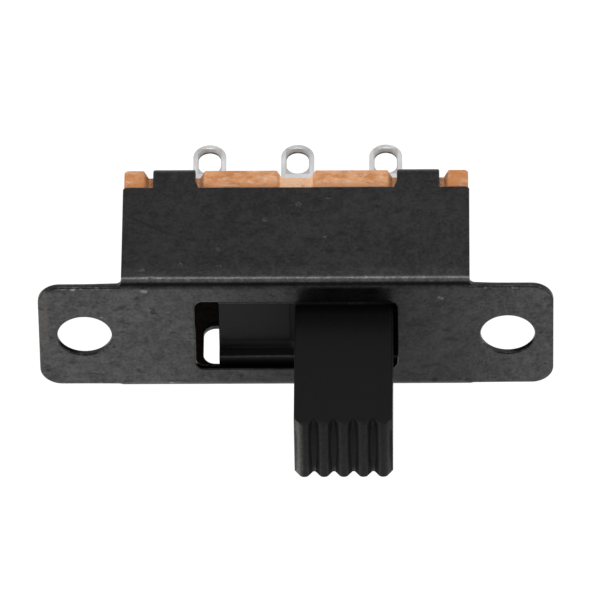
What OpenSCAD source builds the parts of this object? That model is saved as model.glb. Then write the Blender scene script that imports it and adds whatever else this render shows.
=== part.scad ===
// Slide switch, two positions, for a panel: a folded steel frame with two screw ears, a laminate
// terminal board, three blade terminals, and a moulded slider that carries a bridging contact.
// The outer face of the mounting plate lies at z = 0, the knob points up and the terminals down.
// The origin is midway between the two screw holes.

/* [Mounting plate] */
// Distance from a screw hole's centre to the end of its ear
ear_end = 2.05; // [1.6:0.05:3]
// Thickness of the steel sheet
sheet_t = 0.3; // [0.2:0.05:0.4]
// Distance between the two screw holes
hole_pitch = 19; // [18.5:0.1:20]
// Diameter of each screw hole
hole_d = 2.44; // [1.8:0.02:2.6]
// Width of the ears
ear_w = 6.28; // [5.8:0.02:6.6]
// Corner radius of the ears
ear_corner_r = 1; // [0.3:0.1:1.5]
// Length of the slot that the knob moves in
slot_len = 9.05; // [8.6:0.05:10]
// Width of that slot
slot_w = 4.36; // [3.8:0.02:4.5]
// Corner radius of that slot
slot_corner_r = 0.4; // [0.1:0.05:0.5]

/* [Folded body] */
// Length of the two side walls
body_len = 15.6; // [15:0.1:16.2]
// Width over both side walls
body_w = 6.9; // [6.7:0.05:7.5]
// Depth from the outer face of the plate to the end of a side wall
wall_depth = 5.97; // [5.9:0.01:7]
// Inner radius of the bends between plate and walls
wall_bend_r = 0.18; // [0.05:0.01:0.35]
// Radius of the fillet where the end of a bend meets the side of an ear
relief_r = 0.25; // [0.1:0.05:0.4]
// Radius of the free corners of the side walls
wall_corner_r = 0.15; // [0.05:0.05:0.4]

/* [Crimp tabs] */
// Width of each crimp tab
tab_w = 1.92; // [1.5:0.02:2.2]
// Distance of each tab's centre from the middle of the body
tab_x = 5.49; // [5:0.01:6]
// How much wider a tab is at its foot, on the side towards the middle
tab_foot = 0.14; // [0.05:0.01:0.3]
// Height over which the foot narrows to the tab
tab_foot_h = 0.4; // [0.2:0.05:0.6]
// Inner radius of the fold over the board
tab_fold_r = 0.2; // [0.1:0.05:0.3]
// Flat length of a tab on the back of the board
tab_flat = 0.9; // [0.6:0.1:1.4]

/* [Detent windows] */
// Depth of the windows' upper edge below the outer face of the plate
window_depth = 1.29; // [1.1:0.01:1.4]
// Height of each window
window_h = 2.35; // [2.3:0.01:2.6]
// Corner radius of each window
window_corner_r = 0.55; // [0.2:0.05:0.6]
// Width of the bar between the two windows
bar_w = 0.5; // [0.4:0.05:0.8]
// Free length of a window beyond the nose of the spring
window_slack = 0.24; // [0.2:0.01:0.5]

/* [Terminal board] */
// Thickness of the board
board_t = 1.05; // [0.8:0.05:1.4]
// Length of the board
board_len = 15.5; // [15:0.05:16]
// How far each long edge of the board stays inside the outer face of the wall
board_inset = 0.02; // [0.01:0.01:0.1]
// Radius of the board's four corners
board_corner_r = 0.2; // [0.05:0.05:0.5]
// Width of each tab notch's floor beyond the tab's foot, on each side
notch_slack = 0.06; // [0.03:0.01:0.2]
// How far the notches' sides slant outwards
notch_slant = 0.22; // [0.05:0.01:0.3]
// Width of the floor of the middle notch
mid_notch_w = 1.3; // [0.8:0.1:2]

/* [Terminals] */
// Distance between neighbouring terminals
lug_pitch = 4; // [3.8:0.05:4.2]
// Width of a lug outside the board
lug_w = 1.5; // [1.2:0.05:1.8]
// Thickness of the terminal sheet
lug_t = 0.35; // [0.25:0.05:0.5]
// Length of a lug beyond the back of the board
lug_reach = 4.78; // [4:0.02:6]
// Width of the wire eye
eye_w = 1.02; // [0.7:0.02:1.1]
// Length of the wire eye
eye_len = 1.53; // [1.2:0.01:2]
// Metal left between the eye and the tip
eye_rim = 0.28; // [0.2:0.01:0.5]
// Width of the contact blade inside the body
blade_w = 2; // [1.9:0.1:2.4]
// Height of the contact blade above the board
blade_h = 2.37; // [2:0.01:2.6]
// Radius of the contact blade's two free corners
blade_corner_r = 0.35; // [0.1:0.05:0.8]
// How far the stake barbs stand out on each side of a lug
barb_out = 0.18; // [0.1:0.02:0.3]
// Height of the stake barbs
barb_h = 0.22; // [0.1:0.02:0.4]

/* [Knob] */
// Length of the knob along the travel
knob_len = 4.4; // [3.6:0.1:4.6]
// Width of the knob across the travel
knob_w = 3.5; // [3:0.1:3.7]
// Height of the ridges' tips above the plate
knob_h = 7.05; // [4:0.05:9]
// Radius of the knob's upright edges
knob_edge_r = 0.12; // [0.05:0.01:0.3]
// Number of grip ridges
ridge_count = 5; // [3:1:7]
// Width of the rounded top of each ridge
ridge_top_w = 0.34; // [0.2:0.02:0.4]
// How far a ridge's top falls towards its two sides
ridge_fall = 0.05; // [0.02:0.01:0.08]
// Depth of the grooves between ridges at their ends
ridge_depth = 0.34; // [0.25:0.01:0.5]
// Width of the flat floor of each groove at its ends
groove_flat = 0.08; // [0.04:0.01:0.1]
// Rise of the grooves' crowned floors at mid-width
floor_rise = 0.11; // [0.05:0.01:0.2]

/* [Slider] */
// Length of the slider's carrier inside the body
carrier_len = 11.28; // [11:0.01:11.28]
// Radius of the carrier's long upper edges
carrier_edge_r = 0.4; // [0.35:0.05:0.5]
// Width of the recess along the carrier's top, between its two rails
recess_w = 3.4; // [3.1:0.05:3.45]
// Depth of the recess's floor below the plate's inner face
recess_drop = 0.6; // [0.4:0.05:0.9]
// Radius where the knob's ends meet the recess's floor
foot_r = 0.25; // [0.1:0.05:0.35]
// Depth of the spring's pocket in the side of the carrier
pocket_depth = 0.4; // [0.35:0.05:0.5]
// Width of the channel for blades and contact
channel_w = 2; // [1.8:0.05:2.4]
// Depth of the channel's roof below the recess's floor
channel_roof = 1.55; // [1.2:0.05:1.8]
// Length of each rib that holds the contact endways
rib_len = 0.5; // [0.3:0.1:0.8]
// Height of those ribs
rib_h = 0.9; // [0.5:0.1:1.1]

/* [Bridging contact] */
// Length of the bridging contact
clip_len = 5.2; // [5:0.1:5.6]
// Thickness of the contact strip
clip_t = 0.15; // [0.1:0.01:0.2]
// Depth from its roof down to where the leaves pinch the blades
clip_pinch_depth = 2.5; // [2.2:0.1:2.8]
// Length of the flared lips below the pinch
clip_lip = 0.6; // [0.3:0.1:0.8]
// How far each lip flares outwards
clip_flare = 0.3; // [0.1:0.05:0.4]

/* [Detent spring] */
// Thickness of the spring strip
spring_t = 0.12; // [0.08:0.01:0.15]
// Width of the spring strip
spring_w = 1.75; // [1.4:0.05:1.8]
// Depth of the spring's upper edge below the windows' upper edge
spring_drop = 0.3; // [0.25:0.01:0.35]
// How far the nose stays inside the outer face of the wall
nose_inset = 0.08; // [0.04:0.01:0.12]

/* [Clearances] */
// Gap between the knob and the end of its slot in either position
end_gap = 0.17; // [0.17:0.01:0.4]
// Running gap between the slider's rails and the plate
plate_gap = 0.06; // [0.03:0.01:0.1]
// Running gap between the carrier and the walls
wall_gap = 0.08; // [0.03:0.01:0.1]
// Running gap between the carrier and the board
board_gap = 0.06; // [0.03:0.01:0.1]
// Gap around a terminal in the board
lug_gap = 0.02; // [0.01:0.01:0.05]
// Gap between the contact's leaves and the blades
contact_gap = 0.02; // [0.01:0.01:0.04]
// Gap around the contact in its seat
seat_gap = 0.03; // [0.02:0.01:0.06]
// Gap between the nose of the spring and the bar
nose_gap = 0.07; // [0.06:0.01:0.1]
// Gap between the spring's feet and the floor of its pocket
foot_gap = 0.02; // [0.01:0.01:0.04]
// Room for the spring's feet to spread as it flattens
spread_gap = 0.15; // [0.12:0.01:0.3]
// Gap above and below the spring in its pocket
pocket_gap = 0.06; // [0.04:0.01:0.1]

/* [Hidden] */
$fn = 64;
eps = 0.01;
plate_len = hole_pitch + 2 * ear_end;
inner_w = body_w - 2 * sheet_t;
// The slider rests at the -X end of its travel
rest_x = (slot_len - knob_len) / 2 - end_gap;
board_top = -wall_depth;
board_back = board_top - board_t;
notch_depth = sheet_t + tab_fold_r;
// Levels of the carrier, from the top down
rail_top = -sheet_t - plate_gap;
recess_z = -sheet_t - recess_drop;
roof_z = recess_z - channel_roof;
carrier_low = board_top + board_gap;
carrier_w = inner_w - 2 * wall_gap;
pocket_y = carrier_w / 2 - pocket_depth;
// The nose of the bowed spring: an arc whose middle stands in a window
nose_half = rest_x - bar_w / 2 - nose_gap;
nose_top = body_w / 2 - nose_inset;
nose_into = nose_top - inner_w / 2;
spring_r = (nose_half * nose_half + nose_into * nose_into) / (2 * nose_into);
spring_centre = nose_top - spring_r;
foot_y = pocket_y + foot_gap;
foot_angle = acos((foot_y - spring_centre) / (spring_r - spring_t));
foot_x = spring_r * sin(foot_angle);
spring_top = -window_depth - spring_drop;
window_out = rest_x + nose_half + window_slack;
// The arc over each ridge of the knob
ridge_r = (pow(ridge_top_w / 2, 2) + pow(ridge_fall, 2)) / (2 * ridge_fall);
ridge_angle = asin(ridge_top_w / 2 / ridge_r);

function arc_points(r, from, to, steps = 24) =
    [for (i = [0:steps]) let (a = from + (to - from) * i / steps) [r * sin(a), r * cos(a)]];

module rounded_rect(length, width, r) {
    union() {
        square([length - 2 * r, width], center = true);
        square([length, width - 2 * r], center = true);
        for (x = [-1, 1], y = [-1, 1])
            translate([x * (length / 2 - r), y * (width / 2 - r)]) circle(r);
    }
}

// A bar along X with its two upper edges rounded; its top lies at z = top
module rounded_bar(length, width, top, low, r) {
    rotate([90, 0, 90])
        linear_extrude(length, center = true)
            union() {
                translate([-width / 2, low]) square([width, top - r - low]);
                translate([-width / 2 + r, low]) square([width - 2 * r, top - low]);
                for (y = [-1, 1]) translate([y * (width / 2 - r), top - r]) circle(r);
            }
}

// Steel frame, folded from one sheet

// What lies between a corner at the origin and an arc of radius r that touches both its sides
module corner_piece(r) {
    difference() {
        translate([-eps, -eps]) square(r + eps);
        translate([r, r]) circle(r);
    }
}

module ears() {
    translate([0, 0, -sheet_t])
        linear_extrude(sheet_t)
            difference() {
                rounded_rect(plate_len, ear_w, ear_corner_r);
                square([body_len - 2 * eps, body_w + 1], center = true);
            }
}

// Plate and walls in one bent strip of the given length
module bent_strip(length) {
    difference() {
        rounded_bar(length, body_w, 0, -wall_depth, wall_bend_r + sheet_t);
        rounded_bar(length + 1, inner_w, -sheet_t, -wall_depth - 1, wall_bend_r);
    }
}

module channel() {
    difference() {
        bent_strip(body_len);
        for (side = [0, 1])
            mirror([side, 0, 0])
                translate([-body_len / 2, 0, -wall_depth])
                    rotate([90, 0, 0])
                        linear_extrude(body_w + 1, center = true) corner_piece(wall_corner_r);
    }
}

// The bends run out into the sides of the ears in small fillets
module reliefs() {
    intersection() {
        bent_strip(body_len + 2 * relief_r + 1);
        translate([0, 0, -sheet_t])
            linear_extrude(sheet_t + 1)
                for (x = [0, 1], y = [0, 1])
                    mirror([x, 0])
                        mirror([0, y])
                            translate([body_len / 2, ear_w / 2]) corner_piece(relief_r);
    }
}

// One tab in section: up past the board's edge, then folded over its back
module tab_section() {
    fold_y = body_w / 2 - notch_depth;
    fold_z = board_back + tab_fold_r;
    translate([inner_w / 2, fold_z]) square([sheet_t, board_top - fold_z + eps]);
    translate([fold_y - tab_flat, board_back - sheet_t]) square([tab_flat, sheet_t]);
    translate([fold_y, fold_z])
        intersection() {
            difference() {
                circle(notch_depth);
                circle(tab_fold_r);
            }
            translate([0, -notch_depth]) square(notch_depth);
        }
}

// The same tab seen from the side of the body: straight, with a foot that widens inwards
module tab_outline() {
    low = board_back - sheet_t - eps;
    half = tab_w / 2;
    polygon([[-half - tab_foot, board_top + eps], [-half - tab_foot, board_top],
             [-half, board_top - tab_foot_h], [-half, low], [half, low], [half, board_top + eps]]);
}

module tab() {
    translate([tab_x, 0, 0])
        intersection() {
            rotate([90, 0, 90])
                linear_extrude(2 * tab_w, center = true) tab_section();
            rotate([90, 0, 0])
                linear_extrude(2 * body_w, center = true) tab_outline();
        }
}

module tabs() {
    for (side = [0, 1], face = [0, 1])
        mirror([side, 0, 0])
            mirror([0, face, 0])
                tab();
}

module windows() {
    length = window_out - bar_w / 2;
    for (x = [-1, 1])
        translate([x * (window_out + bar_w / 2) / 2, body_w / 2, -window_depth - window_h / 2])
            rotate([90, 0, 0])
                linear_extrude(4 * sheet_t, center = true)
                    rounded_rect(length, window_h, window_corner_r);
}

module frame() {
    color([0.22, 0.22, 0.22])
        difference() {
            union() {
                ears();
                channel();
                reliefs();
                tabs();
            }
            for (x = [-1, 1])
                translate([x * hole_pitch / 2, 0, -sheet_t - 1]) cylinder(d = hole_d, h = sheet_t + 2);
            translate([0, 0, -sheet_t - 1])
                linear_extrude(sheet_t + 2)
                    rounded_rect(slot_len, slot_w, slot_corner_r);
            windows();
        }
}

// Terminal board, punched from laminate

module notch(floor_w) {
    edge = body_w / 2;
    floor_y = edge - notch_depth;
    polygon([[-floor_w / 2, floor_y], [floor_w / 2, floor_y], [floor_w / 2 + notch_slant, edge],
             [floor_w / 2 + notch_slant, edge + 1], [-floor_w / 2 - notch_slant, edge + 1],
             [-floor_w / 2 - notch_slant, edge]]);
}

module terminal_board() {
    color([0.78, 0.57, 0.42])
        translate([0, 0, board_back])
            linear_extrude(board_t)
                difference() {
                    rounded_rect(board_len, body_w - 2 * board_inset, board_corner_r);
                    for (turn = [0, 180]) rotate(turn) {
                        for (x = [-1, 1])
                            translate([x * tab_x, 0]) notch(tab_w + 2 * (tab_foot + notch_slack));
                        notch(mid_notch_w);
                    }
                    for (i = [-1:1])
                        translate([i * lug_pitch, 0])
                            square([lug_w + 2 * lug_gap, lug_t + 2 * lug_gap], center = true);
                }
}

// Terminals: a blade inside, a shoulder on the board, stake barbs behind it and a lug with an eye

module blade() {
    r = blade_corner_r;
    translate([0, board_top])
        union() {
            translate([-blade_w / 2, 0]) square([blade_w, blade_h - r]);
            translate([-blade_w / 2 + r, 0]) square([blade_w - 2 * r, blade_h]);
            for (x = [-1, 1]) translate([x * (blade_w / 2 - r), blade_h - r]) circle(r);
        }
}

module lug() {
    tip = board_back - lug_reach;
    round_z = tip + lug_w / 2;
    difference() {
        union() {
            translate([-lug_w / 2, round_z]) square([lug_w, board_top - round_z + eps]);
            translate([0, round_z]) circle(lug_w / 2);
        }
        for (z = [tip + eye_rim + eye_w / 2, tip + eye_rim + eye_len - eye_w / 2])
            translate([0, z]) circle(eye_w / 2);
        translate([-eye_w / 2, tip + eye_rim + eye_w / 2]) square([eye_w, eye_len - eye_w]);
    }
}

module barbs() {
    out = lug_w / 2 + barb_out;
    polygon([[-out, board_back], [out, board_back], [lug_w / 2 - eps, board_back - barb_h],
             [-lug_w / 2 + eps, board_back - barb_h]]);
}

module terminal(place) {
    color([0.82, 0.82, 0.81])
        translate([place * lug_pitch, 0, 0])
            rotate([90, 0, 0])
                union() {
                    linear_extrude(lug_t, center = true) blade();
                    linear_extrude(lug_t, center = true) lug();
                    linear_extrude(lug_t, center = true) barbs();
                }
}

// Slider: knob and carrier in one moulding

// One pitch of the grip: half a groove's floor, a ridge with an arc for its top, half a floor again
function ridge_points(p) =
    concat([[0, -ridge_depth], [groove_flat / 2, -ridge_depth]],
           [for (point = arc_points(ridge_r, -ridge_angle, ridge_angle, 8)) point + [p / 2, -ridge_r]],
           [[p - groove_flat / 2, -ridge_depth]]);

function ridge_line(p) =
    [for (i = [0:ridge_count - 1], point = ridge_points(p)) point + [i * p - knob_len / 2, knob_h]];

module knob() {
    low = recess_z - eps;
    half = knob_w / 2;
    crown_r = (half * half + floor_rise * floor_rise) / (2 * floor_rise);
    intersection() {
        translate([0, 0, low])
            linear_extrude(knob_h - low + 1)
                rounded_rect(knob_len, knob_w, knob_edge_r);
        union() {
            rotate([90, 0, 0])
                linear_extrude(knob_w + 1, center = true)
                    polygon(concat([[-knob_len / 2, low]], ridge_line(knob_len / ridge_count),
                                   [[knob_len / 2, knob_h - ridge_depth], [knob_len / 2, low]]));
            intersection() {
                translate([0, 0, knob_h - ridge_depth + floor_rise - crown_r])
                    rotate([0, 90, 0])
                        cylinder(r = crown_r, h = knob_len, center = true, $fn = 180);
                translate([-knob_len / 2, -knob_w / 2, 0]) cube([knob_len, knob_w, knob_h]);
            }
        }
    }
}

// Rounded foot at each end of the knob, across the floor of the recess
module knob_feet() {
    for (side = [0, 1])
        mirror([side, 0, 0])
            translate([knob_len / 2, 0, recess_z])
                rotate([90, 0, 0])
                    linear_extrude(recess_w + eps, center = true)
                        union() {
                            corner_piece(foot_r);
                            translate([-knob_edge_r, -eps]) square([knob_edge_r, foot_r + eps]);
                        }
}

module spring_pocket() {
    depth = pocket_depth + 1;
    half = foot_x + spread_gap;
    low = spring_top - spring_w - pocket_gap;
    translate([-half, pocket_y, low])
        cube([2 * half, depth, spring_top + pocket_gap - low]);
}

module carrier() {
    difference() {
        rounded_bar(carrier_len, carrier_w, rail_top, carrier_low, carrier_edge_r);
        translate([-carrier_len / 2 - 1, -recess_w / 2, recess_z])
            cube([carrier_len + 2, recess_w, 2]);
        translate([-carrier_len / 2 - 1, -channel_w / 2, carrier_low - 1])
            cube([carrier_len + 2, channel_w, roof_z - carrier_low + 1]);
        spring_pocket();
    }
    for (x = [-1, 1])
        translate([x * (clip_len / 2 + seat_gap + rib_len / 2), 0, roof_z - rib_h / 2])
            cube([rib_len, channel_w + eps, rib_h], center = true);
}

module slider() {
    color([0.14, 0.14, 0.14])
        translate([-rest_x, 0, 0])
            union() {
                knob();
                knob_feet();
                carrier();
            }
}

// Bridging contact: a folded strip whose two leaves pinch two neighbouring blades

module clip_section() {
    top = roof_z - seat_gap;
    out = channel_w / 2 - seat_gap;
    pinch = lug_t / 2 + contact_gap;
    pinch_z = top - clip_pinch_depth;
    lip_z = pinch_z - clip_lip;
    outside = [[out, top], [out, top - clip_t], [pinch + clip_t, pinch_z],
               [pinch + clip_t + clip_flare, lip_z]];
    inside = [[pinch + clip_flare, lip_z], [pinch, pinch_z], [out - clip_t, top - clip_t]];
    half = concat(outside, inside);
    polygon(concat(half, [for (i = [len(half) - 1:-1:0]) [-half[i][0], half[i][1]]]));
}

module contact_clip() {
    color([0.77, 0.6, 0.38])
        translate([-rest_x, 0, 0])
            rotate([90, 0, 90])
                linear_extrude(clip_len, center = true)
                    clip_section();
}

// Detent spring: a bowed strip between the carrier and the windowed wall

module detent_spring() {
    color([0.72, 0.72, 0.7])
        translate([-rest_x, spring_centre, spring_top - spring_w])
            linear_extrude(spring_w)
                polygon(concat(arc_points(spring_r, -foot_angle, foot_angle),
                               arc_points(spring_r - spring_t, foot_angle, -foot_angle)));
}

frame();
terminal_board();
terminal(-1);  // terminal_left
terminal(0);  // terminal_middle
terminal(1);  // terminal_right
slider();
contact_clip();
detent_spring();
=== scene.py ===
import math
import bmesh
import bpy
from mathutils import Matrix, Vector


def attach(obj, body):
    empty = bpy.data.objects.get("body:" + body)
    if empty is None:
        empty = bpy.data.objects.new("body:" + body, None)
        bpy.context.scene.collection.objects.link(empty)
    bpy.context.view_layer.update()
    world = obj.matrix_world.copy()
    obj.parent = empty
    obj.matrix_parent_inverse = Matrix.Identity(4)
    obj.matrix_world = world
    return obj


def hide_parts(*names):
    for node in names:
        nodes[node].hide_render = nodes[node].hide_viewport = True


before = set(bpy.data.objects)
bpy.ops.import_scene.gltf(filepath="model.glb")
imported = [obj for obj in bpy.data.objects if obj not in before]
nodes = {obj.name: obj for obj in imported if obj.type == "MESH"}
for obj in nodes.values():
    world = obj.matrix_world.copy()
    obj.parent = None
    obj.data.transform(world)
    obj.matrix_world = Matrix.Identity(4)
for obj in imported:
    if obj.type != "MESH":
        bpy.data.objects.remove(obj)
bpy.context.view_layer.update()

mm = 0.001
print("frame loaded with", len(nodes), "nodes")


class Wire:
    # carries one node output, so that shader maths can be written as plain expressions
    def __init__(self, tree, socket=None):
        self.tree = tree
        self.socket = socket

    def node(self, kind, settings=None, inputs=None, out=0):
        made = self.tree.nodes.new(kind)
        for key, value in (settings or {}).items():
            setattr(made, key, value)
        for key, value in (inputs or {}).items():
            if isinstance(value, Wire):
                self.tree.links.new(value.socket, made.inputs[key])
            else:
                made.inputs[key].default_value = value
        return Wire(self.tree, made.outputs[out])

    def math(self, operation, first, second=0.0):
        return self.node("ShaderNodeMath", {"operation": operation}, {0: first, 1: second})

    def __add__(self, other):
        return self.math("ADD", self, other)

    def __radd__(self, other):
        return self.math("ADD", other, self)

    def __sub__(self, other):
        return self.math("SUBTRACT", self, other)

    def __rsub__(self, other):
        return self.math("SUBTRACT", other, self)

    def __mul__(self, other):
        return self.math("MULTIPLY", self, other)

    def __rmul__(self, other):
        return self.math("MULTIPLY", other, self)


def vectorMath(point, operation, other):
    return point.node("ShaderNodeVectorMath", {"operation": operation}, {0: point, 1: other})


def mixColour(factor, first, second):
    return factor.node("ShaderNodeMix", {"data_type": "RGBA"}, {0: factor, 6: first, 7: second}, out=2)


def grey(value):
    return (value, value, value, 1.0)


def tint(red, green, blue):
    return (red, green, blue, 1.0)


def between(value, low, high):
    # 0 at low, 1 at high, smooth in the middle; low may be the larger of the two
    return value.node("ShaderNodeMapRange", {"interpolation_type": "SMOOTHSTEP", "clamp": True},
                      {"Value": value, "From Min": low, "From Max": high})


def step(values, mask):
    # the first value, and as much of the second as the mask lets in
    base, added = values
    return base + mask * added


def weighted(layers, weights):
    total = layers[0] * weights[0]
    for layer, weight in zip(layers[1:], weights[1:]):
        total = total + layer * weight
    return total


def noise(point, scale, detail, roughness, stretch=(1, 1, 1), shift=(0, 0, 0)):
    moved = vectorMath(vectorMath(point, "MULTIPLY", stretch), "ADD", shift)
    return point.node("ShaderNodeTexNoise", {},
                      {"Vector": moved, "Scale": scale, "Detail": detail, "Roughness": roughness})


speckForm = {"wobbleScale": 5.0, "wobbleDetail": 2.0, "core": 0.35, "pickFade": 0.02}


def specks(point, perMm, radius, share, shift=(0, 0, 0), stretch=(1, 1, 1), ragged=0.0):
    # scattered dots: share is the part of the cells that hold one
    moved = vectorMath(vectorMath(point, "MULTIPLY", stretch), "ADD", shift)
    if ragged:
        form = {"Vector": moved, "Scale": speckForm["wobbleScale"], "Detail": speckForm["wobbleDetail"]}
        wobble = point.node("ShaderNodeTexNoise", {}, form, out="Color")
        centred = vectorMath(wobble, "SUBTRACT", (0.5, 0.5, 0.5))
        moved = vectorMath(moved, "ADD", vectorMath(centred, "MULTIPLY", (ragged, ragged, ragged)))
    cells = {"Vector": moved, "Scale": perMm, "Randomness": 1.0}
    distance = point.node("ShaderNodeTexVoronoi", {}, cells, out="Distance")
    pick = point.node("ShaderNodeTexVoronoi", {}, cells, out="Color")
    chosen = point.node("ShaderNodeSeparateColor", {}, {0: pick})
    dot = between(distance, radius * perMm, speckForm["core"] * radius * perMm)
    return dot * between(chosen, share, share - speckForm["pickFade"])


strokeCore = 0.2


def stroke(point, start, end, width):
    # a soft line: nothing beyond its width, full within a fifth of it
    start, end = Vector(start), Vector(end)
    along = end - start
    offset = vectorMath(point, "SUBTRACT", start)
    dot = point.node("ShaderNodeVectorMath", {"operation": "DOT_PRODUCT"},
                     {0: offset, 1: along / along.length_squared}, out="Value")
    share = point.node("ShaderNodeClamp", {}, {"Value": dot})
    nearest = point.node("ShaderNodeVectorMath", {"operation": "SCALE"}, {0: tuple(along), "Scale": share})
    gap = point.node("ShaderNodeVectorMath", {"operation": "DISTANCE"}, {0: offset, 1: nearest}, out="Value")
    return between(gap, width, width * strokeCore)


def strokes(point, marks):
    lines = [stroke(point, *mark) for mark in marks]
    every = lines[0]
    for line in lines[1:]:
        every = every.math("MAXIMUM", every, line)
    return every


def axes(point):
    parts = point.node("ShaderNodeSeparateXYZ", {}, {0: point})
    return [Wire(point.tree, parts.socket.node.outputs[i]) for i in range(3)]


def size(value):
    return value.math("ABSOLUTE", value)


def edges(point, radiusMm, low, high):
    # 1 along the outer edges and inner corners, within about the radius
    rounded = point.node("ShaderNodeBevel", {"samples": 6}, {"Radius": radiusMm * mm})
    true = point.node("ShaderNodeNewGeometry", out="Normal")
    match = point.node("ShaderNodeVectorMath", {"operation": "DOT_PRODUCT"}, {0: rounded, 1: true},
                       out="Value")
    return between(1 - match, low, high)


def newMaterial(name, specular=0.5):
    material = bpy.data.materials.new(name)
    material.use_nodes = True
    tree = material.node_tree
    shader = tree.nodes["Principled BSDF"]
    shader.inputs["Specular IOR Level"].default_value = specular
    wire = Wire(tree)
    coords = wire.node("ShaderNodeTexCoord", out="Object")
    point = wire.node("ShaderNodeVectorMath", {"operation": "SCALE"}, {0: coords, "Scale": 1 / mm})
    return material, shader, point


def feed(shader, point, colour, roughness, height, heightMm):
    bump = point.node("ShaderNodeBump", {}, {"Height": height, "Distance": heightMm * mm, "Strength": 1.0})
    for wire, name in ((colour, "Base Color"), (roughness, "Roughness"), (bump, "Normal")):
        point.tree.links.new(wire.socket, shader.inputs[name])


# values of the finishes: a noise is its scale, detail, roughness, stretch and shift
# a range is where a mask starts and where it is full, in mm if its name ends in X, Y or Z
# an edge is its radius in mm and its range; cover is how much of a mask shows in the colour

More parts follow.
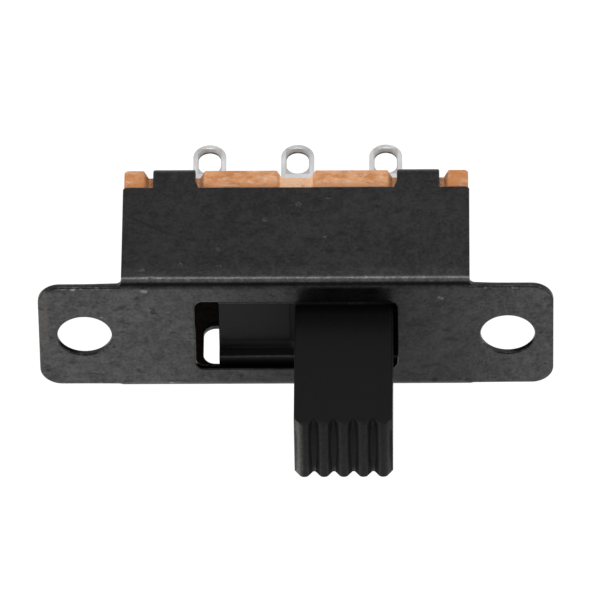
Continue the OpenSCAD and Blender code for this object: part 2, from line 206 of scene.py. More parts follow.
steelCoat = {
    # the light tone is used for scuffed edges and for the painted highlight on and below the bend
    "specular": 0.4, "metallic": 0.8, "roughness": 0.32, "heightMm": 0.014,
    # the dark tone is used for pits and marks, and also for the painted shade on the wall and the plate's
    # middle
    "dark": 0.0118, "light": 0.0352, "wornAndHighlight": 0.1, "pitAndShade": 0.005, "fleck": 0.12, "nick": 0.13,
    # the warm tint on this line is the colour of the painted reflection on the left ear's end
    "paintedSlotShade": 0.001, "endReflectionTint": (0.046, 0.043, 0.038),
    "cloud": (0.45, 4, 0.6, (0.8, 1, 1)),
    "mottle": (2.8, 5, 0.65, (1, 0.85, 0.85), (3, 1, 7)),
    "grain": (6.5, 4, 0.75, (1, 0.85, 0.85), (6, 2, 4)),
    "rolled": (3.2, 3, 0.5, (0.1, 2.2, 2.2), (1, 9, 2)),
    "smudge": (1.7, 4, 0.65, (0.6, 1.5, 1.5), (9, 4, 2)),
    "earEdgeNoise": (3.2, 4, 0.75, (1, 1, 1), (4, 4, 1)),
    "pits": {"perMm": 1.5, "radius": 0.17, "stretch": (0.85, 0.85, 0.85), "ragged": 0.35},
    "smallPits": {"perMm": 3.4, "radius": 0.09, "shift": (5, 2, 3), "ragged": 0.2},
    "flecks": {"perMm": 1.0, "radius": 0.1, "share": 0.16, "shift": (2, 4, 6),
               "stretch": (0.7, 1.5, 1.5), "ragged": 0.2},
    # a value, and what a mask adds to it
    # scuffs on the bend, made lighter as a painted highlight
    "pitShare": (0.3, 0.3), "smallPitShare": (0.34, 0.2), "bendWearAndHighlight": (0.55, 0.4),
    # the wall and plate values here set painted shade: the wall darker towards +x, the plate darker towards
    # its middle
    "overBendHighlight": (0.06, 0.08), "paintedWallShade": (0.1, 0.13), "paintedPlateShade": (0.03, 0.08),
    "smudgeOnEar": 0.03, "scratchTail": 0.8,
    # parts of cloud, mottle, rolled and grain in the tone, and of grain and mottle in the patches of edge
    # rubbing and painted highlight
    "toneMix": (0.15, 0.4, 0.07, 0.38), "patchMix": (0.5, 0.5),
    # parts of mottle, rolled and grain in the height, and how deep the marks go in it
    "heightMix": (0.6, 0.15, 0.25), "depth": {"pits": 0.6, "smallPits": 0.3, "scratch": 0.4},
    "roughnessBy": {"tone": 0.1, "bend": 0.08, "pits": 0.2, "scratch": 0.15},
    "toneRange": (0.375, 0.625), "smudgeRange": (0.59, 0.66), "earEdgeRange": (0.5, 0.64),
    "patchRange": (0.46, 0.58), "brightRange": (0.3, 0.55), "nickRange": (0.4, 0.6),
    "earX": (6.0, 8.6), "wallZ": (-0.5, -0.8), "wallShadeX": (-7, 8), "plateShadeX": (7.2, 4.5),
    "bendY": (3.05, 3.2), "bendLowZ": (-0.52, -0.34), "bendHighZ": (-0.13, -0.2),
    # these ranges place a painted highlight on the wall at -y, just below the bend
    "overBendY": (-3.3, -3.4), "overBendLowZ": (-1.25, -0.6), "overBendHighZ": (-0.42, -0.5),
    "earEdgeX": (7.95, 8.1), "earEdgeY": (2.99, 3.05), "earEdgeZ": (-0.1, -0.04),
    "slotX": (4.9, 4.7), "slotY": (2.5, 2.35), "slotZ": (-0.36, -0.33), "slotSideZ": (-0.03, -0.06),
    "leftEndX": (11.1, 11.2), "leftEndZ": (-0.1, -0.03), "leftEndY": (1.5, -0.5),
    "edge": (0.14, 0.02, 0.16),
    "cover": {"smudge": 0.55, "pits": 0.6, "smallPits": 0.55, "scratch": 0.5, "smears": 0.55,
              "paintedEndReflection": 0.35, "slot": 0.9, "wearAndHighlight": 0.6, "flecks": 0.85, "nicks": 0.55,
              "bright": 0.8, "earEdgeLine": 0.6},
    # single marks on the plate: x and y of the start, x and y of the end, width
    "smears": [(7.7, -1.93, 8.1, -1.68, 0.17), (8.0, -1.07, 7.75, -1.02, 0.13),
               (7.72, -0.62, 7.62, -0.6, 0.13), (6.3, -1.1, 6.1, -1.08, 0.16),
               (6.76, 0.15, 6.72, 0.35, 0.16), (7.15, 2.3, 6.95, 2.35, 0.13),
               (-6.66, -0.33, -6.8, -0.33, 0.17), (9.1, -1.9, 8.95, -2.0, 0.13)],
    "bright": [(6.85, -2.92, 6.7, -2.9, 0.13), (-6.55, -2.4, -6.45, -2.45, 0.12),
               (5.7, 3.1, 5.6, 3.11, 0.12), (10.0, -3.05, 9.95, -3.04, 0.12)],
    # single marks on the wall: x and z of the start, x and z of the end, width
    "wallY": -3.45,
    "nicks": [(5.16, -1.16, 5.14, -1.1, 0.15), (3.44, -1.0, 3.4, -1.02, 0.16),
              (3.5, -2.09, 3.48, -2.04, 0.14), (6.9, -0.76, 6.84, -0.78, 0.17),
              (1.4, -3.92, 1.38, -3.88, 0.15), (-0.08, -4.9, -0.14, -4.84, 0.17)],
    "scratch": [(7.37, -4.04, 5.9, -3.15, 0.14), (5.9, -3.15, 4.5, -2.6, 0.12)],
}


def onPlate(mark):
    startX, startY, endX, endY, width = mark
    return (startX, startY, 0), (endX, endY, 0), width


def onWallFace(mark):
    startX, startZ, endX, endZ, width = mark
    return (startX, steelCoat["wallY"], startZ), (endX, steelCoat["wallY"], endZ), width


def makeSteelCoat():
    # thin black oxide: a dark metal, so its tone varies through its colour
    material, shader, point = newMaterial("blackenedSteel", steelCoat["specular"])
    shader.inputs["Metallic"].default_value = steelCoat["metallic"]
    x, y, z = axes(point)
    amount, by, depth = steelCoat["cover"], steelCoat["roughnessBy"], steelCoat["depth"]

    def inside(value, name):
        return between(value, *steelCoat[name])

    def cover(colour, mask, name, tone):
        return mixColour(mask * amount[name], colour, grey(steelCoat[tone]))

    cloud, mottle, grain, rolled = [noise(point, *steelCoat[name])
                                    for name in ("cloud", "mottle", "grain", "rolled")]
    onEar = inside(x, "earX")
    smudge = inside(noise(point, *steelCoat["smudge"]) + onEar * steelCoat["smudgeOnEar"], "smudgeRange")
    pits = specks(point, share=step(steelCoat["pitShare"], onEar), **steelCoat["pits"])
    smallPits = specks(point, share=step(steelCoat["smallPitShare"], onEar), **steelCoat["smallPits"])
    flecks = specks(point, **steelCoat["flecks"])
    scratch, tail = [stroke(point, *onWallFace(mark)) for mark in steelCoat["scratch"]]
    scratch = scratch.math("MAXIMUM", scratch, tail * steelCoat["scratchTail"])
    smears = strokes(point, [onPlate(mark) for mark in steelCoat["smears"]])
    bright = strokes(point, [onPlate(mark) for mark in steelCoat["bright"]]) * inside(grain, "brightRange")
    nicks = strokes(point, [onWallFace(mark) for mark in steelCoat["nicks"]]) * inside(grain, "nickRange")

    edge = edges(point, *steelCoat["edge"])
    onBend = inside(size(y), "bendY") * inside(z, "bendLowZ") * inside(z, "bendHighZ")
    # painted highlight: a lighter band on the wall at -y, fading down from the bend
    overBend = inside(y, "overBendY") * inside(z, "overBendLowZ") * inside(z, "overBendHighZ")
    onWall = inside(z, "wallZ")
    # a lighter speckled line along the top of the ears' long edges
    earEdgeLine = inside(size(x), "earEdgeX") * inside(size(y), "earEdgeY") * inside(z, "earEdgeZ")
    earEdgeLine = earEdgeLine * inside(noise(point, *steelCoat["earEdgeNoise"]), "earEdgeRange")
    # painted shade: the slot's edges and inner sides are darkened, and the scuffs are kept off them
    nearSlot = inside(size(x), "slotX") * inside(size(y), "slotY") * inside(z, "slotZ")
    paintedSlotShade = nearSlot.math("MAXIMUM", edge, inside(z, "slotSideZ")) * nearSlot
    # painted reflection: a lighter, warmer strip along the top of the left ear's end
    paintedEndReflection = inside(x, "leftEndX") * inside(z, "leftEndZ") * inside(y, "leftEndY")
    patchy = inside(weighted((grain, mottle), steelCoat["patchMix"]), "patchRange")
    # scuffed edges, and on the bend scuffs with a painted highlight
    wearAndHighlight = edge * patchy * (1 - nearSlot) + onBend * step(steelCoat["bendWearAndHighlight"], patchy)
    # painted shade: the wall is darkened, more towards +x, and the plate towards its middle
    paintedWallShade = onWall * step(steelCoat["paintedWallShade"], inside(x, "wallShadeX"))
    paintedPlateShade = (1 - onWall) * step(steelCoat["paintedPlateShade"], inside(size(x), "plateShadeX"))

    tone = inside(weighted((cloud, mottle, rolled, grain), steelCoat["toneMix"]), "toneRange")
    colour = mixColour(tone, grey(steelCoat["dark"]), grey(steelCoat["light"]))
    for mask, name in ((smudge, "smudge"), (pits, "pits"), (smallPits, "smallPits"),
                       (scratch, "scratch"), (smears, "smears")):
        colour = cover(colour, mask, name, "pitAndShade")
    # mix in the painted shade on the wall and the plate's middle
    colour = mixColour(paintedWallShade + paintedPlateShade, colour, grey(steelCoat["pitAndShade"]))
    # mix in the painted reflection on the left ear's end
    colour = mixColour(paintedEndReflection * amount["paintedEndReflection"], colour, tint(*steelCoat["endReflectionTint"]))
    # mix in the painted shade on the slot's edges
    colour = cover(colour, paintedSlotShade, "slot", "paintedSlotShade")
    # mix in the scuffed edges and the bend's painted highlight
    colour = cover(colour, wearAndHighlight, "wearAndHighlight", "wornAndHighlight")
    colour = cover(colour, flecks, "flecks", "fleck")
    # mix in the painted highlight below the bend
    colour = mixColour(overBend * step(steelCoat["overBendHighlight"], patchy), colour, grey(steelCoat["wornAndHighlight"]))
    colour = cover(colour, nicks, "nicks", "nick")
    bare = bright * amount["bright"] + earEdgeLine * amount["earEdgeLine"]
    colour = mixColour(bare, colour, grey(steelCoat["fleck"]))
    roughness = steelCoat["roughness"] - (tone - 0.5) * by["tone"] - onBend * by["bend"]
    roughness = roughness + pits * by["pits"] + scratch * by["scratch"]
    height = weighted((mottle, rolled, grain), steelCoat["heightMix"])
    height = height - pits * depth["pits"] - smallPits * depth["smallPits"] - scratch * depth["scratch"]
    feed(shader, point, colour, roughness, height, steelCoat["heightMm"])
    return material


moulding = {
    "specular": 0.075, "roughness": 0.36, "heightMm": 0.005,
    # the light tone here is used for scuffed edges and ridge tops, and for the painted highlight along the
    # rail's edge; the rail face grey is painted light on the rail's inner face
    "dark": 0.0032, "light": 0.0046, "rubbedAndHighlight": 0.035, "paintedRailFaceLight": 0.018, "dust": 0.08,
    # the tint on this line is the colour of the painted light on the knob's end ridge
    "flankLight": (0.09, 0.088, 0.08),
    "cloud": (0.9, 3, 0.5), "grain": (9, 3, 0.6), "flow": (2.0, 3, 0.5, (1.6, 1.6, 0.25), (2, 7, 1)),
    "wearAndLightPatches": (4.5, 4, 0.7, (1, 1, 1), (8, 1, 3)), "wearRange": (0.47, 0.62), "edge": (0.1, 0.04, 0.25),
    "dustSpecks": {"perMm": 1.9, "radius": 0.035, "share": 0.12, "shift": (1, 3, 5)},
    # a value, and what a mask adds to it
    # the rail's value here sets the painted highlight along the rail's edge
    "edgeRub": (0.5, 1.1), "railEdgeHighlight": (0.8, 0.8), "tipRub": (0.3, 0.25), "flankCover": (0.55, 0.35),
    "wearAndHighlightCover": 0.6, "toneMix": (0.6, 0.4), "heightFlow": 0.6,
    "roughnessBy": {"grain": 0.2, "flow": 0.14, "crest": 0.28, "groove": 0.45, "foot": 0.35},
    # the knob's middle, and the crown of its grooves' floors over half their length
    "knobX": -2.155, "crown": 0.11, "crownHalf": 1.75,
    "gripZ": (6.2, 6.5), "tipZ": (6.9, 7.0), "crestZ": (6.95, 6.98),
    "railOutY": (1.84, 1.76), "railInY": (1.66, 1.7), "railLowZ": (-0.5, -0.42), "railHighZ": (-0.2, -0.3),
    "flankX": (-0.44, -0.14), "flankEndX": (0.038, 0.03), "flankZ": (6.6, 6.66), "flankY": (1.73, 1.68),
    "floorZ": (6.715, 6.735), "grooveTopZ": (6.98, 6.95), "grooveY": (1.72, 1.66), "grooveX": (1.98, 1.92),
    "footX": (0.03, 0.05), "footEndX": (0.36, 0.28), "footZ": (-0.55, -0.65),
    # the face ranges place painted light on the rail's inner face
    "faceInY": (1.2, 1.4), "faceOutY": (1.74, 1.71), "faceLowZ": (-0.95, -0.9), "faceHighZ": (-0.33, -0.36),
}


def makeMoulding():
    material, shader, point = newMaterial("blackMoulding", moulding["specular"])
    x, y, z = axes(point)
    by = moulding["roughnessBy"]

    def inside(value, name):
        return between(value, *moulding[name])

    cloud, grain, flow = [noise(point, *moulding[name]) for name in ("cloud", "grain", "flow")]
    # patches that break up the scuffs and the painted light
    wearAndLightPatches = inside(noise(point, *moulding["wearAndLightPatches"]), "wearRange")
    dust = specks(point, **moulding["dustSpecks"])
    # the rail's near top edge, which gets a painted highlight
    railEdge = inside(size(y), "railOutY") * inside(size(y), "railInY") * inside(z, "railLowZ")
    railEdge = railEdge * inside(z, "railHighZ")
    # scuffs on the grip's edges and the ridge tops, and a painted highlight along the rail's edge
    wearAndHighlight = edges(point, *moulding["edge"]) * wearAndLightPatches * step(moulding["edgeRub"], inside(z, "gripZ"))
    wearAndHighlight = wearAndHighlight + railEdge * step(moulding["railEdgeHighlight"], wearAndLightPatches)
    wearAndHighlight = wearAndHighlight + inside(z, "tipZ") * step(moulding["tipRub"], wearAndLightPatches)
    # painted light: the outer slope of the knob's end ridge at +x is made lighter
    paintedFlankLight = inside(x, "flankX") * inside(x, "flankEndX") * inside(z, "flankZ") * inside(size(y), "flankY")
    # the groove's floor is crowned, so it shows as a lens between its dark sides
    overFloor = z + y * y * (moulding["crown"] / moulding["crownHalf"] ** 2) - moulding["crown"]
    groove = inside(overFloor, "floorZ") * inside(z, "grooveTopZ") * inside(size(y), "grooveY")
    groove = groove * inside(size(x - moulding["knobX"]), "grooveX")
    foot = inside(x, "footX") * inside(x, "footEndX") * inside(z, "footZ")
    # painted light: the rail's inner face is made lighter
    paintedRailFaceLight = inside(y, "faceInY") * inside(y, "faceOutY") * inside(z, "faceLowZ") * inside(z, "faceHighZ")

    tone = weighted((cloud, flow), moulding["toneMix"])
    colour = mixColour(tone, grey(moulding["dark"]), grey(moulding["light"]))
    # mix in the scuffs and the painted highlight on the rail's edge
    colour = mixColour(wearAndHighlight * moulding["wearAndHighlightCover"], colour, grey(moulding["rubbedAndHighlight"]))
    # mix in the painted light on the end ridge's outer slope
    colour = mixColour(paintedFlankLight * step(moulding["flankCover"], wearAndLightPatches), colour, tint(*moulding["flankLight"]))
    # mix in the painted light on the rail's inner face
    colour = mixColour(paintedRailFaceLight * (1 - railEdge), colour, grey(moulding["paintedRailFaceLight"]))
    colour = mixColour(dust, colour, grey(moulding["dust"]))
    roughness = moulding["roughness"] + (grain - 0.5) * by["grain"] + (flow - 0.5) * by["flow"]
    roughness = roughness + inside(z, "crestZ") * by["crest"] + groove * by["groove"] + foot * by["foot"]
    feed(shader, point, colour, roughness, grain + flow * moulding["heightFlow"], moulding["heightMm"])
    return material


laminate = {
    "specular": 0.25, "roughness": (0.6, 0.3), "heightMm": 0.06,
    # the darkest brown is used for dirt and for the painted contact shadow
    "pale": (0.75, 0.38, 0.19), "deep": (0.55, 0.215, 0.072), "dirtAndShadow": (0.34, 0.12, 0.035),
    "fresh": (0.96, 0.62, 0.4), "fleck": (0.86, 0.6, 0.44), "greased": (0.42, 0.36, 0.31),
    "fibre": (2.4, 5, 0.7, (0.65, 1.1, 1.6)), "blotch": (1.2, 3, 0.5, (1, 1, 1), (4, 2, 8)),
    "flakes": (3.4, 4, 0.6, (0.6, 1, 1.2), (7, 1, 1)), "dirt": (3.4, 4, 0.7, (0.6, 1, 1), (2, 6, 4)),
    "toneMix": (0.65, 0.35), "heightFlakes": 0.5,
    "cover": {"end": 0.65, "flakes": 0.55, "inner": 0.85, "dirt": 0.5, "paintedContactShadow": 0.4, "grease": 0.8},
    "toneRange": (0.37, 0.6), "flakeRange": (0.5, 0.7), "dirtRange": (0.6, 0.74),
    "lowEdgeZ": (-6.35, -6.0), "endX": (6.5, 6.9), "topZ": (-6.0, -5.98), "greasedX": (5.2, 4.4),
    "innerX": (0.95, 0.85), "innerNearY": (-3.25, -3.1), "innerFarY": (-2.6, -2.8),
}


def makeLaminate():
    material, shader, point = newMaterial("laminate", laminate["specular"])
    x, y, z = axes(point)
    amount = laminate["cover"]

    def inside(value, name):
        return between(value, *laminate[name])

    def cover(colour, mask, tone):
        return mixColour(mask, colour, tint(*laminate[tone]))

    fibre, blotch = [noise(point, *laminate[name]) for name in ("fibre", "blotch")]
    flakes = inside(noise(point, *laminate["flakes"]), "flakeRange")
    dirt = inside(noise(point, *laminate["dirt"]), "dirtRange")
    innerFloor = inside(size(x), "innerX") * inside(y, "innerNearY") * inside(y, "innerFarY")
    greased = inside(z, "topZ") * inside(size(x), "greasedX")
    tone = inside(weighted((fibre, blotch), laminate["toneMix"]), "toneRange")
    colour = mixColour(tone, tint(*laminate["deep"]), tint(*laminate["pale"]))
    colour = cover(colour, inside(size(x), "endX") * amount["end"], "deep")
    colour = cover(colour, flakes * amount["flakes"], "fleck")
    colour = cover(colour, innerFloor * amount["inner"], "fresh")
    # dirt, and a painted contact shadow along the board's edge by the frame's wall
    colour = cover(colour, dirt * amount["dirt"] + inside(z, "lowEdgeZ") * amount["paintedContactShadow"], "dirtAndShadow")
    colour = cover(colour, greased * amount["grease"], "greased")
    height = fibre + flakes * laminate["heightFlakes"]
    feed(shader, point, colour, step(laminate["roughness"], fibre), height, laminate["heightMm"])
    return material


strip = {
    "lines": (7, 4, 0.6), "cloud": (1.3, 3, 0.55, (1, 1, 1), (5, 3, 1)), "toneRange": (0.3, 0.7),
    "toneMix": (0.4, 0.6), "stain": 0.3, "stainCover": 0.3,
    "stains": {"perMm": 2.4, "radius": 0.09, "share": 0.2, "shift": (3, 5, 7)},
    "roughnessBy": {"cloud": 0.16, "lines": 0.1, "stains": 0.12, "eye": 0.25},
}
lugEye = {
    "halfPitch": 2, "sideX": (0.56, 0.53), "tipZ": (-11.56, -11.5), "topZ": (-9.9, -9.96),
    "rimY": (0.0, 0.05), "rimZ": (-10.9, -11.1), "lowZ": (-10.8, -11.3), "dull": 0.42, "rim": 0.03,
    "cover": {"dull": 0.8, "low": 0.16, "rim": 0.9}, "lessMetal": 0.85,
}
metals = {
    "springBronze": {"pale": (0.80, 0.56, 0.30), "deep": (0.66, 0.42, 0.2), "roughness": 0.3,
                     "stretch": (0.2, 1, 1), "scratchMm": 0.003},
    "springSteel": {"pale": (0.7, 0.7, 0.68), "deep": (0.55, 0.55, 0.53), "roughness": 0.28,
                    "stretch": (0.2, 1, 1), "scratchMm": 0.003},
    "tinnedTerminal": {"pale": (0.66, 0.66, 0.665), "deep": (0.52, 0.52, 0.53), "roughness": 0.4,
                       "stretch": (1, 1, 0.2), "scratchMm": 0.004, "eyes": True},
}


def makeMetal(name, pale, deep, roughness, stretch, scratchMm, eyes=False):
    # strip metal with fine lines along one direction; the punched eyes are duller inside
    material, shader, point = newMaterial(name)
    shader.inputs["Metallic"].default_value = 1.0
    by, amount = strip["roughnessBy"], lugEye["cover"]
    lines = noise(point, *strip["lines"], stretch)
    cloud = noise(point, *strip["cloud"])
    stains = specks(point, **strip["stains"])
    tone = between(weighted((lines, cloud), strip["toneMix"]), *strip["toneRange"])
    colour = mixColour(tone, tint(*deep), tint(*pale))
    colour = mixColour(stains * strip["stainCover"], colour, grey(strip["stain"]))
    rough = roughness + (cloud - 0.5) * by["cloud"] + (lines - 0.5) * by["lines"] + stains * by["stains"]
    if eyes:
        x, y, z = axes(point)
        # folds the three lugs onto one
        fromLug = size(size(x) - lugEye["halfPitch"]) - lugEye["halfPitch"]
        inEye = between(size(fromLug), *lugEye["sideX"])
        inEye = inEye * between(z, *lugEye["tipZ"]) * between(z, *lugEye["topZ"])
        farRim = inEye * between(y, *lugEye["rimY"]) * between(z, *lugEye["rimZ"])
        colour = mixColour(inEye * amount["dull"], colour, grey(lugEye["dull"]))
        point.tree.links.new((1 - inEye * lugEye["lessMetal"]).socket, shader.inputs["Metallic"])
        colour = mixColour(between(z, *lugEye["lowZ"]) * amount["low"], colour, grey(strip["stain"]))
        colour = mixColour(farRim * amount["rim"], colour, grey(lugEye["rim"]))
        rough = rough + inEye * by["eye"]
    feed(shader, point, colour, rough, lines + cloud, scratchMm)
    return material


materials = {
    "frame": makeSteelCoat(),
    "slider": makeMoulding(),
    "terminal_board": makeLaminate(),
    "contact_clip": makeMetal("springBronze", **metals["springBronze"]),
    "detent_spring": makeMetal("springSteel", **metals["springSteel"]),
}
tinned = makeMetal("tinnedTerminal", **metals["tinnedTerminal"])
for name in ("terminal_left", "terminal_middle", "terminal_right"):
    materials[name] = tinned
print("materials made:", len(set(materials.values())))


# every node is shown by a copy with broken edges: lengths in mm, angles in degrees
rounding = {"segments": 4, "sharpAngle": 28, "flatAngle": 0.5, "weld": 0.0005, "cut": 0.0002, "steady": 90}
plainEdges = {"terminal_board": ("housing", 0.05), "terminal_left": ("housing", 0.07),
              "terminal_middle": ("housing", 0.07), "terminal_right": ("housing", 0.07),
              "contact_clip": ("slide", 0.02), "detent_spring": ("slide", 0.015)}


def dropFixedNormals(mesh):
    for name in ("custom_normal", "sharp_edge", "sharp_face"):
        if name in mesh.attributes:
            mesh.attributes.remove(mesh.attributes[name])


def giveMaterial(piece, name):
    piece.data.materials.clear()
    piece.data.materials.append(materials[name])


def steadyNormals(piece):
    piece.data.shade_smooth()
    steady = piece.modifiers.new("steadyNormals", "WEIGHTED_NORMAL")
    steady.weight = rounding["steady"]
    steady.keep_sharp = True


def standIn(name, body, mesh):
    skin = bpy.data.objects.new(name + "Skin", mesh)
    bpy.context.scene.collection.objects.link(skin)
    giveMaterial(skin, name)
    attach(skin, body)
    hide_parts(name)
    return skin


def copiedMesh(name):
    mesh = nodes[name].data.copy()
    mesh.name = name + "Skin"
    dropFixedNormals(mesh)
    return mesh


def plainCopy(name, body, width):
    piece = standIn(name, body, copiedMesh(name))
    weld = piece.modifiers.new("weld", "WELD")
    weld.merge_threshold = rounding["weld"] * mm
    flat = piece.modifiers.new("mergeFlats", "DECIMATE")
    flat.decimate_type = "DISSOLVE"
    flat.angle_limit = math.radians(rounding["flatAngle"])
    bevel = piece.modifiers.new("brokenEdges", "BEVEL")
    bevel.width = width * mm
    bevel.segments = rounding["segments"]
    bevel.limit_method = "ANGLE"
    bevel.angle_limit = math.radians(rounding["sharpAngle"])
    bevel.use_clamp_overlap = False
    steadyNormals(piece)


for name, (body, width) in plainEdges.items():
    plainCopy(name, body, width)

frameSkin = {"edge": 0.075, "cutsX": (0, 2.24, 4.1, 6.5, 9.5), "cutZ": -2.485,
             "reliefX": (7.75, 8.15), "reliefY": 2.8, "reliefZ": -0.7}
sliderSkin = {"edge": 0.045, "footX": 2.15, "footSlack": 0.15, "footY": (1.6, 1.8), "footZ": -0.3, "gripZ": 6}


def roundedCopy(name, body, width, cuts, keepSharp):
    # cuts split the flats into simple faces, so that the rounding stays clean
    mesh = copiedMesh(name)
    work = bmesh.new()
    work.from_mesh(mesh)
    bmesh.ops.remove_doubles(work, verts=work.verts[:], dist=rounding["weld"] * mm)
    for axis, place in cuts:
        point, normal = Vector(), Vector()
        point[axis], normal[axis] = place * mm, 1
        everything = work.verts[:] + work.edges[:] + work.faces[:]
        made = bmesh.ops.bisect_plane(work, geom=everything, dist=rounding["cut"] * mm,
                                      plane_co=point, plane_no=normal)
        for part in made["geom_cut"]:
            if isinstance(part, bmesh.types.BMEdge):
                part.seam = True
    bmesh.ops.dissolve_limit(work, angle_limit=math.radians(rounding["flatAngle"]), delimit={"SEAM"},
                             use_dissolve_boundaries=False, verts=work.verts[:], edges=work.edges[:])
    corners = []
    for line in work.edges:
        if line.is_manifold and line.calc_face_angle() > math.radians(rounding["sharpAngle"]):
            middle = (line.verts[0].co + line.verts[1].co) / 2 / mm
            line.smooth = not keepSharp(line, middle)
            if line.smooth:
                corners.append(line)
    bmesh.ops.bevel(work, geom=corners, offset=width * mm, offset_type="OFFSET", affect="EDGES",
                    segments=rounding["segments"], profile=0.5, clamp_overlap=False)
    work.to_mesh(mesh)
    work.free()
    steadyNormals(standIn(name, body, mesh))


def byRelief(line, middle):
    low, high = frameSkin["reliefX"]
    bySide = abs(middle.y) > frameSkin["reliefY"] and middle.z > frameSkin["reliefZ"]
    return low < abs(middle.x) < high and bySide


def inGrooveOrFoot(line, middle):
    fromKnob = abs(middle.x - moulding["knobX"])
    low, high = sliderSkin["footY"]
    byEnd = abs(fromKnob - sliderSkin["footX"]) < sliderSkin["footSlack"] and middle.z < sliderSkin["footZ"]
    inGroove = middle.z > sliderSkin["gripZ"] and not line.is_convex
    return (low < abs(middle.y) < high and byEnd) or inGroove


frameCuts = [(0, side * place) for place in frameSkin["cutsX"] for side in (-1, 1) if place or side > 0]
frameCuts += [(1, 0), (2, frameSkin["cutZ"])]
roundedCopy("frame", "housing", frameSkin["edge"], frameCuts, byRelief)
roundedCopy("slider", "slide", sliderSkin["edge"], [(0, moulding["knobX"]), (1, 0)], inGrooveOrFoot)
print("edges broken on", len(materials), "copies")


studio = {"floorZ": -35, "floorSize": 3000, "paper": 0.85, "white": 1.17, "whiteShare": 0.8,
          "floorGlossy": 0.72, "ambient": 0.42, "backdrop": 1.05}
lamps = {
    # azimuth, elevation, distance, width, height, radiance, shift along x: in degrees and mm
    "kickerLeft": (180, 43.4, 25, 26, 30, 1.5, 16.5),
    "kickerRight": (180, 43.4, 25, 16, 30, 1.4, -16.6),
    "stripFront": (0, -8, 90, 64, 22, 4.5, 0),
    "softboxLeft": (72, 20, 520, 330, 330, 4.0, 0),
    "softboxRight": (-72, 20, 520, 330, 330, 3.2, 0),
    "rimLeft": (137, 8, 300, 120, 120, 0.9, 0),
    "rimRight": (-137, 8, 300, 120, 120, 0.4, 0),
}
blackCard = {"azimuth": 0, "elevation": 62, "distance": 430, "width": 1000, "height": 330, "tone": 0.02}
cameraView = {"azimuth": -1.087, "elevation": 43.438, "roll": -179.479, "distance": 565.77,
              "lens": 756.16, "sensor": 36, "aimRight": 0.173, "aimUp": 1.598}


def direction(azimuth, elevation):
    a, e = math.radians(azimuth), math.radians(elevation)
    return Vector((math.sin(a) * math.cos(e), -math.cos(a) * math.cos(e), math.sin(e)))


def seenDirectly(start, glossy=1.0):
    rays = [start.node("ShaderNodeLightPath", out=kind)
            for kind in ("Is Camera Ray", "Is Glossy Ray", "Is Transmission Ray")]
    return start.math("MAXIMUM", start.math("MAXIMUM", rays[0], rays[1] * glossy), rays[2])


def finishTree(tree, kind, surface):
    output = tree.nodes.new(kind)
    tree.links.new(surface.socket, output.inputs["Surface"])


def makeWorld():
    world = bpy.data.worlds.new("studio")
    bpy.context.scene.world = world
    world.use_nodes = True
    world.node_tree.nodes.clear()
    start = Wire(world.node_tree)
    strength = studio["ambient"] + seenDirectly(start) * (studio["backdrop"] - studio["ambient"])
    light = start.node("ShaderNodeBackground", {}, {"Color": grey(1.0), "Strength": strength})
    finishTree(world.node_tree, "ShaderNodeOutputWorld", light)


def makeCard(name, width, height):
    mesh = bpy.data.meshes.new(name)
    w, h = width / 2 * mm, height / 2 * mm
    mesh.from_pydata([(-w, -h, 0), (w, -h, 0), (w, h, 0), (-w, h, 0)], [], [(0, 1, 2, 3)])
    card = bpy.data.objects.new(name, mesh)
    bpy.context.scene.collection.objects.link(card)
    material = bpy.data.materials.new(name)
    material.use_nodes = True
    material.node_tree.nodes.clear()
    mesh.materials.append(material)
    return card, material.node_tree


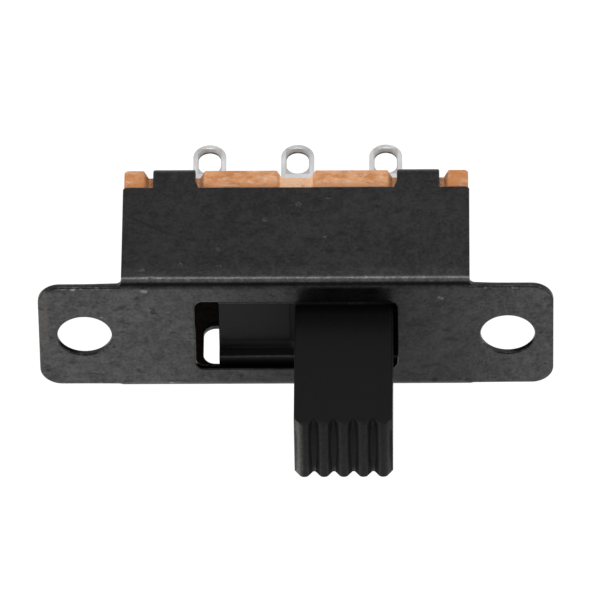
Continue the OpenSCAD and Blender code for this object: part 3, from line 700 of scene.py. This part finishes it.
def makeFloor():
    floor, tree = makeCard("paleFloor", studio["floorSize"], studio["floorSize"])
    floor.location.z = studio["floorZ"] * mm
    start = Wire(tree)
    paper = start.node("ShaderNodeBsdfDiffuse", {}, {"Color": grey(studio["paper"])})
    white = start.node("ShaderNodeEmission", {}, {"Color": grey(1.0), "Strength": studio["white"]})
    factor = seenDirectly(start, studio["floorGlossy"]) * studio["whiteShare"]
    surface = start.node("ShaderNodeMixShader", {}, {0: factor, 1: paper, 2: white})
    finishTree(tree, "ShaderNodeOutputMaterial", surface)


def facePart(thing, azimuth, elevation, distance):
    towards = direction(azimuth, elevation)
    thing.location = towards * distance * mm
    thing.rotation_mode = "QUATERNION"
    thing.rotation_quaternion = towards.to_track_quat("Z", "Y")
    thing.visible_camera = False


def makeBlackCard():
    card, tree = makeCard("blackCard", blackCard["width"], blackCard["height"])
    facePart(card, blackCard["azimuth"], blackCard["elevation"], blackCard["distance"])
    felt = Wire(tree).node("ShaderNodeBsdfDiffuse", {}, {"Color": grey(blackCard["tone"])})
    finishTree(tree, "ShaderNodeOutputMaterial", felt)


def makeLamp(name, azimuth, elevation, distance, width, height, radiance, shift):
    data = bpy.data.lights.new(name, "AREA")
    data.shape = "RECTANGLE"
    data.size, data.size_y = width * mm, height * mm
    data.energy = radiance * math.pi * data.size * data.size_y
    lamp = bpy.data.objects.new(name, data)
    facePart(lamp, azimuth, elevation, distance)
    lamp.location.x += shift * mm
    bpy.context.scene.collection.objects.link(lamp)


def makeCamera():
    data = bpy.data.cameras.new("photoCamera")
    data.sensor_width = cameraView["sensor"]
    data.lens = cameraView["lens"]
    camera = bpy.data.objects.new("photoCamera", data)
    back = direction(cameraView["azimuth"], cameraView["elevation"])
    roll = Matrix.Rotation(math.radians(cameraView["roll"]), 3, "Z")
    turn = back.to_track_quat("Z", "Y").to_matrix() @ roll
    aim = turn @ Vector((cameraView["aimRight"], cameraView["aimUp"], 0))
    camera.matrix_world = Matrix.Translation((aim + back * cameraView["distance"]) * mm) @ turn.to_4x4()
    bpy.context.scene.collection.objects.link(camera)
    bpy.context.scene.camera = camera


makeWorld()
makeFloor()
makeBlackCard()
for name, setting in lamps.items():
    makeLamp(name, *setting)
makeCamera()
bpy.context.scene.view_settings.view_transform = "Standard"
print("floor, light and camera set")
